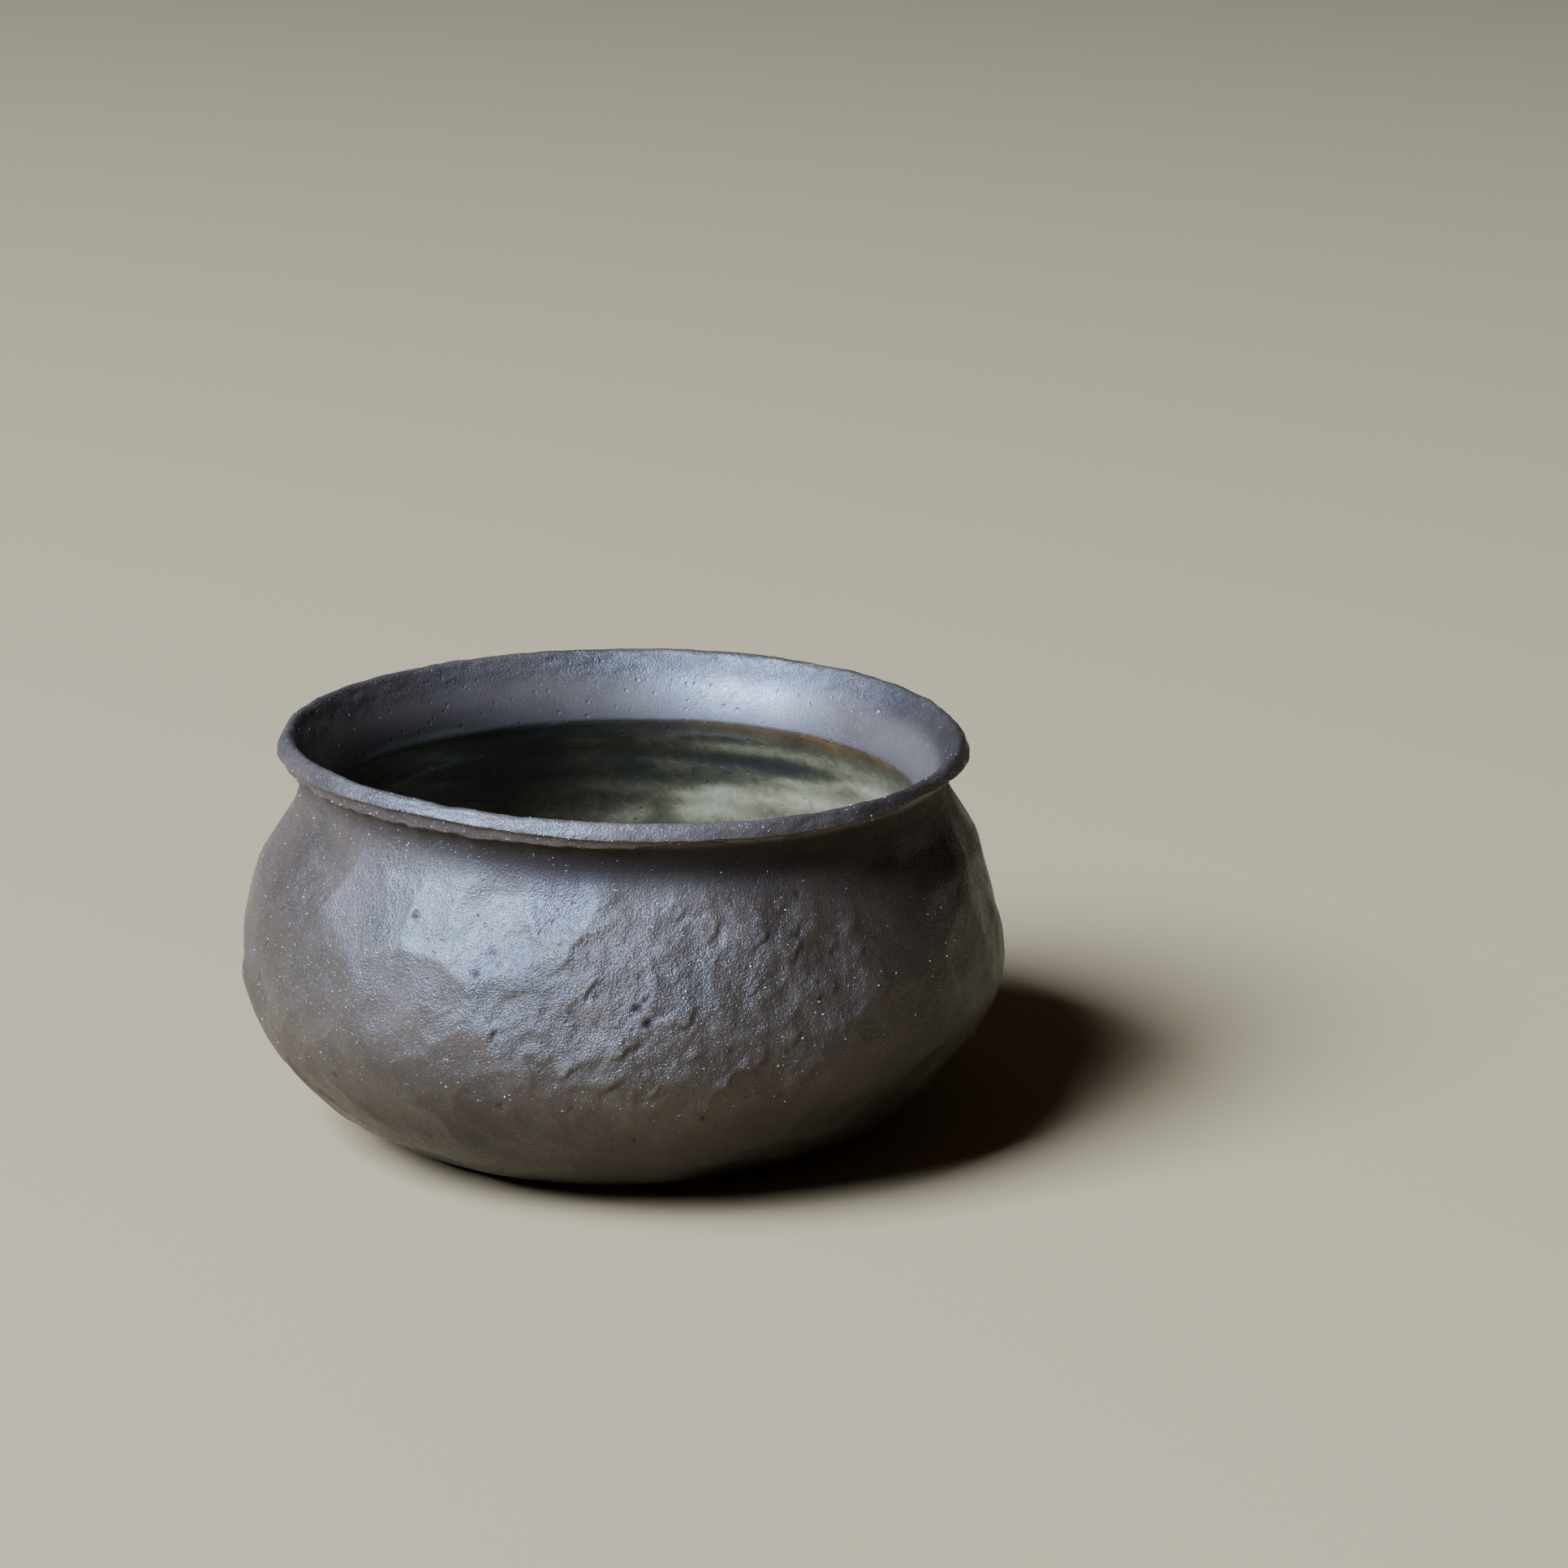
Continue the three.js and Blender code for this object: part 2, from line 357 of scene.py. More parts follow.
# The largest paddle strikes near the front: angle, height, how far in, how wide.
MAIN_STRIKES = (
    (-111, 42.5, 0.7, 13),
    (-136, 45.5, 0.65, 13),
    (-101, 46.5, 0.55, 11),
    (-124, 37, 0.5, 12),
    (-98, 31, 0.5, 13),
    (-89, 43, 0.5, 11),
    (-73, 41, 0.5, 11),
    (-62, 39, 0.55, 11),
    (-52, 37, 0.5, 10),
    (-71, 29, 0.55, 12),
    (-82, 19, 0.5, 12),
    (-117, 25, 0.5, 12),
    (-148, 33, 0.5, 14),
    (-104, 18, 0.5, 11),
)


def paddle_strikes():
    """Angle, height, depth and reach of every strike: rings of them up the wall, small ones
    at the front, then the main ones."""
    for ring, height in enumerate(np.arange(RING_SPACING, NECK_HEIGHT - 2, RING_SPACING)):
        count = int(2 * math.pi * float(side_radius(OUTSIDE, height)) / STRIKE_SPACING)
        for k in range(count):
            angle = (k + 0.5 * (ring % 2) + rng.uniform(-0.35, 0.35)) * 2 * math.pi / count
            yield angle, height + rng.uniform(-3, 3), rng.uniform(0.05, 0.35), rng.uniform(9, 14)
    for _ in range(SMALL_STRIKES):
        angle = math.radians(rng.uniform(-150, -35))
        height = rng.uniform(14, 51)
        yield angle, height, rng.uniform(0.2, 0.5), rng.uniform(4, 8)
    for angle, height, press, reach in MAIN_STRIKES:
        yield math.radians(angle), height, press, reach


def paddled(points, normals, rows):
    """How far in the paddle pushed each point: overlapping flat facets, soft-edged or crisp."""
    depth = np.zeros(points.shape[:2])
    ragged = 1 + 0.3 * noise(points, 7, 35) + 0.12 * noise(points, 2.5, 36)
    for angle, height, press, reach in paddle_strikes():
        row = int(np.argmin(np.abs(rows[:, 0, 1] - height)))
        column = int(np.argmin(np.abs(angle_from(ANGLE, angle))))
        direction = normals[row, column] + rng.normal(0, STRIKE_WOBBLE, 3)
        direction /= np.linalg.norm(direction)
        offset = points - points[row, column]
        away = np.linalg.norm(offset, axis=-1) * ragged
        near = away < 1.3 * reach
        above = offset[near] @ direction + press * (1 - (away[near] / reach) ** 3)
        worn = 1 - smooth_step(abs(angle_from(angle, WORN_ANGLE)), 0.25, 0.8)
        soft = rng.uniform(0.03, 0.15) + 0.3 * worn
        cut = 0.5 * (above + np.sqrt(above**2 + soft**2))
        depth[near] = np.maximum(depth[near], cut)
    return depth


def dragged(points, angle, height):
    """Scales of clay pulled along by the paddle, each ending in a small step down to the right."""
    length = 5.5  # of one scale
    crest = 0.88  # the share of that length over which it rises, before it drops
    run = 0.6 * angle_from(angle, FRONT) * BELLY_RADIUS - 0.8 * height
    run = run + 5.0 * noise(points, 11, 41) + 2.6 * noise(points, 3.6, 42) + 0.7 * noise(points, 1.5, 43)
    part = (run / length) % 1.0
    scale = np.where(part < crest, part / crest, (1 - part) / (1 - crest))
    return scale * smooth_step(noise(points, 4.5, 44), -0.05, 0.35)


def torn(points, angle, height):
    """Height of the scaly, gritty clay, outwards positive."""
    zone = rough_zone(angle, height)
    lumps = layered(points, (7.0, 7.0, 8.0), 45, 2)
    grit = layered(points, (1.6, 1.6, 2.0), 47, 2)
    rough = 0.36 * dragged(points, angle, height) + 0.3 * lumps + 0.14 * layered(points, 2.6, 49, 3)
    return (0.07 + 0.93 * zone) * rough + (0.035 + 0.045 * zone) * grit + 0.13 * noise(points, 6, 48)


def scattered(areas, count, favour):
    """Random grid places, evenly by area times favour. Returns rows and columns."""
    chance = (areas * favour).ravel()
    chosen = rng.choice(chance.size, size=count, replace=False, p=chance / chance.sum())
    return np.unravel_index(chosen, areas.shape)


def cell_areas(points):
    around = np.roll(points, -1, axis=1) - points
    along = np.gradient(points, axis=0)
    return np.linalg.norm(np.cross(around, along), axis=-1)


def on_surface(angle, height):
    """The point of the true outside at an angle in degrees and a height."""
    height = np.float64(height)
    return hand_shaped(side_radius(OUTSIDE, height), math.radians(angle), height)


# The pits that stand out at the front: angle, height, radius and depth.
MAIN_PITS = (
    (-122, 46.5, 0.5, 0.5),
    (-86, 36.5, 0.6, 0.6),
    (-84.5, 34.3, 0.65, 0.6),
    (-95.5, 21, 0.5, 0.4),
    (-61, 45, 0.7, 0.6),
    (-106, 20.3, 0.7, 0.4),
)
# The cracks that stand out: angle, height, half length and lean.
MAIN_CRACKS = (
    (-106.3, 31.8, 1.4, 0.5),
    (-110, 22.5, 0.8, -0.9),
    (-86, 15, 0.7, 0.1),
)
PITS = 40  # small ones, scattered by chance
CRACKS = 10


def pitted(points, favour, count):
    """Depth of small round pits left by grit that fell out."""
    depth = np.zeros(points.shape[:2])
    places = zip(*scattered(cell_areas(points), count, favour))
    pits = [(points[place], rng.uniform(0.3, 0.6), rng.uniform(0.1, 0.35)) for place in places]
    pits += [(on_surface(angle, height), size, deep) for angle, height, size, deep in MAIN_PITS]
    ragged = 1 + 0.5 * noise(points, 0.9, 56)
    for centre, size, deep in pits:
        away = np.linalg.norm(points - centre, axis=-1) * ragged
        depth = np.maximum(depth, deep * np.exp(-((away / size) ** 2)))
    return depth


def cracked(points, favour, count):
    """Depth of short, mostly upright drying cracks."""
    depth = np.zeros(points.shape[:2])
    places = zip(*scattered(cell_areas(points), count, favour))
    cracks = [(points[place], rng.uniform(0.5, 1.0), rng.normal(0, 0.6)) for place in places]
    cracks += [(on_surface(angle, height), half, lean) for angle, height, half, lean in MAIN_CRACKS]
    for centre, half, lean in cracks:
        around = np.array([-centre[1], centre[0], 0]) / np.hypot(centre[0], centre[1])
        offset = points - centre
        up = offset[..., 2]
        away = np.abs(offset @ around - lean * up - 0.25 * np.sin(1.7 * up + centre[0]))
        profile = np.exp(-((away / 0.26) ** 2)) * smooth_step(-np.abs(up), -half, -0.4 * half)
        depth = np.maximum(depth, 0.22 * profile * (np.linalg.norm(offset, axis=-1) < 8))
    return depth


# Angle and height of the middle, width in degrees, height in mm, how far out.
SWELLS = (
    (180, 42.5, 30, 4.5, 0.55),
    (180, 50, 30, 3.0, -0.35),
    (0, 46.5, 28, 3.5, 0.35),
    (-8, 24, 30, 5.0, 0.3),
    (-125, 44, 20, 6.0, 0.35),
    (100, 38, 35, 7.0, 0.4),
)


def swells(angle, height):
    """The few broad bumps and hollows that give the outline its corners."""
    total = np.zeros(np.broadcast(angle, height).shape)
    for where, at, wide, tall, out in SWELLS:
        around = angle_from(angle, math.radians(where)) / math.radians(wide)
        total += out * np.exp(-(around**2) - ((height - at) / tall) ** 2)
    return total


def inner_undulation(angle, height):
    """Soft finger rings inside, the same on every inner skin."""
    ring = np.sin(height * 1.25 + angle * 1.0 + 1.5 * np.sin(angle * 2))
    ring = ring * smooth_step(height, FLOOR_HEIGHT + 4, FLOOR_HEIGHT + 12)
    return 0.09 * ring * smooth_step(-height, -THROAT_HEIGHT, -THROAT_HEIGHT + 8)


def darkened_flank_and_foot(height, points):
    """0 on the bare clay, towards 1 on the right flank, where this is painted shade, and towards the foot,
    where the clay is drawn darker.
    """
    flank = around_bump(-5, 80, 15)
    foot = smooth_step(-height, -35, -6)
    return np.clip(0.72 * flank + 0.85 * foot + 0.15 * noise(points, 16, 58), 0, 0.9)


def softened(points, crease):
    """Rubs the crease under the lip into a soft hollow, rows either side of it."""
    reach = 9
    rows = np.arange(crease - reach, crease + reach + 1)
    share = 0.5 * (1 - smooth_step(np.abs(rows - crease), 3, reach))[:, None, None]
    for _ in range(40):
        between = (points[rows - 1] + points[rows + 1]) / 2
        points[rows] += share * (between - points[rows])
    return points


class Skin:
    """The visible skin of the bowl: points, normals, what the shaders read, and named row ranges."""

    def __init__(self):
        parts = dict(base=underside_rows(), wall=wall_rows(), lip=lip_rows(), glaze=glaze_rows())
        self.span, rows, first = {}, [], 0
        for name, part in parts.items():
            new_rows = part[1:] if rows else part  # a piece starts on the last row of the one before
            self.span[name] = (first, first + len(new_rows))
            rows.append(new_rows)
            first += len(new_rows)
        self.rows = np.concatenate(rows)
        self.height = self.rows[..., 1]
        self.angle = np.broadcast_to(ANGLE, self.height.shape)
        self.points = hand_shaped(self.rows[..., 0], self.angle, self.height)
        base, wall, lip, glaze = (slice(*self.span[name]) for name in parts)
        below_rim = np.arange(len(self.rows))[:, None] > lip.stop - FLARE_ROWS
        self.inside = np.broadcast_to(below_rim, self.angle.shape)

        self.paddle(wall)
        # Smoother clay on the lower inner flare; its lighter colour is a painted highlight.
        self.polish_and_highlight = smooth_step(-self.height, -60.5, -57) * self.inside
        self.coarse = 0.45 * (1 - self.polish_and_highlight)
        # Painted shade in pits, cracks and the hollow under the lip, and a darker stain by the glaze edge.
        self.painted_shade_and_stain = np.zeros(self.angle.shape)
        # Painted shade on the right flank, and the clay darker towards the foot.
        self.flank_and_foot_dark = darkened_flank_and_foot(self.height, self.points)
        amount = np.zeros(self.angle.shape)
        amount[base] = self.slab_marks(base)
        amount[wall] = self.wall_marks(wall)
        amount[lip] = self.lip_marks(lip)
        amount[glaze] = -inner_undulation(self.angle[glaze], self.height[glaze])
        self.move(amount, facing(self.points))
        self.points[..., 2] = np.maximum(self.points[..., 2], 0)
        self.points = softened(self.points, wall.stop - 1)
        self.normals = facing(self.points)
        self.bend = self.curvature()

    def move(self, amount, normals):
        """Moves every point along its normal, outwards where the amount is positive."""
        self.points = self.points + amount[..., None] * normals

    def paddle(self, wall):
        """The broad shape of the wall: its swells first, then the paddle's facets in them."""
        angle, height, rows = self.angle[wall], self.height[wall], self.rows[wall]
        outer = on_outside(rows)
        true_normals = facing(self.points)
        amount = np.zeros(self.angle.shape)
        amount[wall] = outer * (swells(angle, height) + 0.33 * noise(self.points[wall], 17, 3))
        self.move(amount, true_normals)
        amount[wall] = -outer * paddled(self.points[wall], facing(self.points)[wall], rows)
        self.move(amount, true_normals)

    def slab_marks(self, base):
        """Lumps under the slab, except where it touches the table."""
        off_table = self.height[base] > 0
        return 0.25 * off_table * np.abs(layered(self.points[base], 5, 61))

    def wall_marks(self, wall):
        """Torn clay, pits and cracks of the wall, outwards positive."""
        angle, height, points = self.angle[wall], self.height[wall], self.points[wall]
        outer = on_outside(self.rows[wall])
        zone = rough_zone(angle, height)
        self.coarse[wall] += 0.55 * zone
        pits = pitted(points, outer * (0.2 + zone), PITS)
        cracks = cracked(points, outer * (0.3 + zone), CRACKS)
        hollows = np.maximum(pits, cracks)
        # Painted shade in the pits and cracks.
        self.painted_shade_and_stain[wall] = np.clip(hollows / 0.4, 0, 1)
        return outer * torn(points, angle, height) - hollows

    def lip_marks(self, lip):
        """Wiping streaks of the lip, outwards positive; also painted shade under it, a darker stain by the
        glaze edge on its inside, widened into painted shade on the left-back, and a painted highlight on
        its front.
        """
        height, points = self.height, self.points
        # Painted shade in the hollow under the lip, less of it on the left.
        under_lip = smooth_step(height + 0.7 * noise(points, 2.2, 57), NECK_HEIGHT - 4.5, NECK_HEIGHT + 0.5)
        under_lip *= smooth_step(-height, -NECK_HEIGHT - 4.6, -NECK_HEIGHT - 3.4)
        under_lip *= 0.9 - 0.75 * around_bump(-150, 66)
        self.painted_shade_and_stain = np.maximum(self.painted_shade_and_stain, under_lip * ~self.inside)
        # A darker stain just above the glaze edge, widened on the left-back into painted shade.
        left_back_shade = around_bump(132, 66)
        near_glaze = np.exp(-np.abs(height - glaze_edge()) / (1.6 + 5 * left_back_shade)) * self.inside
        self.painted_shade_and_stain = np.maximum(self.painted_shade_and_stain, (0.55 + 0.4 * left_back_shade) * near_glaze)

        from_crease = np.arange(lip.stop - lip.start)[:, None]
        on_lip = smooth_step(from_crease, 0, 12) * smooth_step(from_crease[-1] - from_crease, 1, FLARE_ROWS)
        on_lip = on_lip * (1 - 0.85 * self.polish_and_highlight[lip])
        streaks = 0.16 * layered(points[lip] * STREAKED, 5.0, 51) + 0.05 * layered(points[lip], 1.6, 52, 2)
        # Painted highlight on the front of the lip, put in as lighter, smoother clay.
        front_highlight = smooth_step(from_crease, 10, 22) * ~self.inside[lip] * around_bump(-88, 45)
        self.polish_and_highlight[lip] = np.maximum(self.polish_and_highlight[lip], 0.7 * front_highlight)
        self.flank_and_foot_dark[lip] *= 0.6
        return on_lip * (streaks + 0.12 * noise(points[lip], 8, 53))

    def marks(self, rows):
        """Numbers the clay shader reads, for a range of rows."""
        return {key: getattr(self, key)[rows] for key in ("painted_shade_and_stain", "bend", "coarse", "polish_and_highlight", "flank_and_foot_dark")}

    def curvature(self):
        """Positive on ridges and negative in hollows, about -1..1."""
        near = (np.roll(self.points, 2, axis=1) + np.roll(self.points, -2, axis=1)) / 2
        above = np.concatenate([self.points[:2], self.points[:-2]])
        below = np.concatenate([self.points[2:], self.points[-2:]])
        offset = self.points - (near + (above + below) / 2) / 2
        return np.clip(np.sum(offset * self.normals, axis=-1) / 0.12, -1, 1)


# ---- meshes ------------------------------------------------------------------------
def make_object(name, vertices, faces, normals=None, values=None):
    """A mesh object from millimetre points. values are named numbers, one per vertex."""
    mesh = bpy.data.meshes.new(name)
    mesh.from_pydata((vertices * MM).tolist(), [], faces)
    mesh.validate()
    mesh.shade_smooth()
    for key, numbers in (values or {}).items():
        mesh.attributes.new(key, "FLOAT", "POINT").data.foreach_set("value", numbers.astype(np.float32))
    if normals is not None:
        mesh.normals_split_custom_set_from_vertices(normals.tolist())
    obj = bpy.data.objects.new(name, mesh)
    bpy.context.scene.collection.objects.link(obj)
    return obj


def grid_faces(count, wrap_rows):
    """Quads between rows of COLUMNS points, closed around the bowl and, if asked, along the rows."""
    rows = np.arange(count if wrap_rows else count - 1)[:, None]
    columns = np.arange(COLUMNS)[None, :]
    beside = (columns + 1) % COLUMNS
    above = (rows + 1) % count
    here, over = rows * COLUMNS, above * COLUMNS
    corners = np.broadcast_arrays(here + columns, here + beside, over + beside, over + columns)
    return np.stack(corners, axis=-1).reshape(-1, 4)


def closed_piece(name, skin, rows, hidden, values, poles=False, hidden_first=False):
    """One closed body: visible rows of the skin and the hidden rows of its joints.
    With poles, the whole line of rows starts and ends on the axis, in a point."""
    parts = [skin.points[rows], hidden]
    seen = slice(0, len(parts[0]))
    if hidden_first:
        parts.reverse()
        seen = slice(len(hidden), None)
    points = np.concatenate(parts)
    normals = facing(points)
    normals[seen] = skin.normals[rows]
    padded = {key: np.zeros(points.shape[:2]) for key in values}
    for key, numbers in values.items():
        padded[key][seen] = numbers
    if not poles:
        faces = grid_faces(len(points), True).tolist()
        flat = {key: numbers.ravel() for key, numbers in padded.items()}
        return make_object(name, points.reshape(-1, 3), faces, normals.reshape(-1, 3), flat)
    ring = points[1:-1]
    faces = grid_faces(len(ring), False).tolist()
    last = len(ring) * COLUMNS
    top = last - COLUMNS
    for column in range(COLUMNS):
        beside = (column + 1) % COLUMNS
        faces.append([last, beside, column])
        faces.append([last + 1, top + column, top + beside])
    ends = np.stack([points[0].mean(axis=0), points[-1].mean(axis=0)])
    vertices = np.concatenate([ring.reshape(-1, 3), ends])
    end_normals = [normals[1].mean(axis=0), normals[-2].mean(axis=0)]
    all_normals = np.concatenate([normals[1:-1].reshape(-1, 3), end_normals])
    flat = {k: np.concatenate([v[1:-1].ravel(), [v[0].mean(), v[-1].mean()]]) for k, v in padded.items()}
    return make_object(name, vertices, faces, all_normals, flat)


def placed(line):
    """Hidden section points moved to where the maker's hand left them."""
    rows = all_round(np.asarray(line, float))
    height = rows[..., 1]
    angle = np.broadcast_to(ANGLE, height.shape)
    return hand_shaped(rows[..., 0], angle, height)


def joint_line(start, end, count=4):
    """Straight hidden joint between two section points, ends left out."""
    share = np.linspace(0, 1, count + 2)[1:-1, None]
    return np.asarray(start) + (np.asarray(end) - np.asarray(start)) * share


def build_base(skin):
    rows = slice(*skin.span["base"])
    slab_top = (SLAB_TOP_RADIUS, float(side_height(INSIDE, SLAB_TOP_RADIUS)))
    edge = (float(side_radius(OUTSIDE, SLAB_EDGE_HEIGHT)), SLAB_EDGE_HEIGHT)
    radii = np.linspace(SLAB_TOP_RADIUS, 0, HIDDEN_ROWS)
    top = np.stack([radii, side_height(INSIDE, radii)], axis=1)
    hidden = placed(np.concatenate([joint_line(edge, slab_top), top]))
    return closed_piece("base", skin, rows, hidden, skin.marks(rows), poles=True)


def build_wall(skin):
    first, last = skin.span["wall"]
    rows = slice(first - 1, last)
    throat = (THROAT_RADIUS, THROAT_HEIGHT)
    joint = SLAB_TOP_RADIUS + GAP
    inner = side_line(INSIDE, float(side_height(INSIDE, joint)), THROAT_HEIGHT, HIDDEN_ROWS)[::-1]
    hidden = placed(np.concatenate([joint_line((NECK_RADIUS, NECK_HEIGHT), throat, 2), inner]))
    return closed_piece("wall", skin, rows, hidden, skin.marks(rows))


def build_lip(skin):
    first, last = skin.span["lip"]
    rows = slice(first - 1, last)
    bottom = (THROAT_RADIUS + 0.5, THROAT_HEIGHT - 0.4)
    hidden = placed([bottom, *joint_line(bottom, (NECK_RADIUS, NECK_HEIGHT), 3)])
    return closed_piece("lip", skin, rows, hidden, skin.marks(rows))


def build_glaze(skin):
    first, last = skin.span["glaze"]
    rows = slice(first - 1, last)
    back = inset(INSIDE, GAP)
    up = side_line(back, back["low"], GLAZE_HEIGHT - 1.5, 2 * HIDDEN_ROWS)
    floor = [(radius, back["low"]) for radius in np.linspace(0, back["foot"], 6)[:-1]]
    hidden = placed(np.concatenate([floor, up]))
    thin = smooth_step(skin.height[rows] - glaze_edge(), -4.6, 0)
    tone = glaze_tone(skin.angle[rows], skin.height[rows], skin.points[rows])
    values = {"tone": tone * (1 - 0.85 * thin), "thin": thin, "iron": thin * around_bump(45, 65)}
    return closed_piece("glaze", skin, rows, hidden, values, poles=True, hidden_first=True)


# ---- glaze colour field --------------------------------------------------------------
# Angle and height of the middle, width in degrees and height in mm, lighter or darker.
POOLS = (
    (50, 39.5, 26, 6.0, 0.5),
    (42, 45.0, 13, 2.6, 0.25),
    (78, 36.0, 9, 4.2, 0.5),
    (92, 33.0, 9, 2.6, 0.3),
    (85, 34.0, 2.5, 2.5, -0.25),
    (73, 47.6, 18, 1.1, 0.22),
    (62, 44.2, 14, 1.9, -0.6),
    (91, 43.5, 4, 1.6, -0.2),
    # The three darker pools from 112 to 145 degrees darken the glaze colour and also paint shade on the
    # left-back inside.
    (125, 42, 28, 8, -0.2),
    (145, 54, 34, 7, -0.9),
    (112, 51, 30, 3, -0.35),
    (-60, 30, 40, 8, 0.3),
    (-150, 22, 30, 7, 0.35),
)


def glaze_tone(angle, height, points):
    """0 for bare dark glaze, 1 for milky cream ash, streaked the way it was swirled."""
    circle = points * STREAKED
    warp = 7.0 * np.stack([noise(circle, 20, 71 + k) for k in range(3)], axis=-1)
    tone = 0.30 + 0.26 * layered(circle + warp, 30, 75, 4)
    ragged = 0.5 * noise(circle + warp, 14, 81) + 0.25 * noise(circle, 6, 82)
    for where, at, wide, tall, lift in POOLS:
        around = angle_from(angle, math.radians(where)) / math.radians(wide)
        up = (height - at - 1.2 * noise(circle, 18, 83)) / tall
        tone += lift * np.exp(-((around + ragged) ** 2) - (up + ragged) ** 2)
    return np.clip(tone, 0, 1)


# ---- mineral grains -----------------------------------------------------------------
# The grains that stand out: angle, height, size, and whether it is on the inside of the lip.
MAIN_GRAINS = (
    (34.6, 58.5, 0.42, True),
    (-79, 38.8, 0.16, False),
    (-79.3, 38.0, 0.18, False),
    (-79.1, 37.2, 0.14, False),
    (-118, 50.5, 0.18, False),
    (-131, 47.0, 0.17, False),
    (-94, 47.5, 0.17, False),
    (-69, 41.5, 0.18, False),
)
SPECKS = 2400
# Every grain is a lopsided crystal with six corners and eight sides.
GRAIN_CORNERS = np.array([(1, 0, 0), (-1, 0, 0), (0, 1, 0), (0, -1, 0), (0, 0, 1), (0, 0, -1)], float)
GRAIN_SIDES = ((0, 2, 4), (2, 1, 4), (1, 3, 4), (3, 0, 4), (2, 0, 5), (1, 2, 5), (3, 1, 5), (0, 3, 5))


def build_specks(skin):
    """Pale feldspar grains standing in the clay, outside and on the lip."""
    first, last = skin.span["wall"][0], skin.span["lip"][1]
    points, normals = skin.points[first:last], skin.normals[first:last]
    height = skin.height[first:last]
    favour = smooth_step(height, 14, 40) * (0.55 + 0.45 * smooth_step(noise(points, 12, 91), -0.4, 0.4))
    inward = -np.sum(normals[..., :2] * points[..., :2], axis=-1)
    favour *= np.where(inward > 0, 0.3, 1.0) * (0.12 + 0.88 * around_bump(-108, 62))
    favour *= 1 - 0.95 * skin.painted_shade_and_stain[first:last]
    places = zip(*scattered(cell_areas(points), SPECKS, favour))
    grains = [(place, 0.05 + 0.11 * rng.random() ** 4) for place in places]
    for angle, at, size, inside in MAIN_GRAINS:
        column = int(np.argmin(np.abs(angle_from(ANGLE, math.radians(angle)))))
        same_side = skin.inside[first:last, column] == inside
        away = np.where(same_side, np.abs(height[:, column] - at), np.inf)
        grains.append(((int(np.argmin(away)), column), size))
    vertices, faces = [], []
    for place, size in grains:
        shape = rng.uniform(0.7, 1.25, 3) * size
        turn = np.linalg.qr(rng.normal(size=(3, 3)))[0]
        if np.linalg.det(turn) < 0:
            turn[:, 0] *= -1
        centre = points[place] + normals[place] * size * 0.15
        start = len(GRAIN_CORNERS) * len(vertices)
        vertices.append(centre + (GRAIN_CORNERS * shape) @ turn.T)
        faces.extend([start + a, start + b, start + c] for a, b, c in GRAIN_SIDES)
    obj = make_object("mineral_specks", np.concatenate(vertices), faces)
    for polygon in obj.data.polygons:
        polygon.use_smooth = False
    return obj


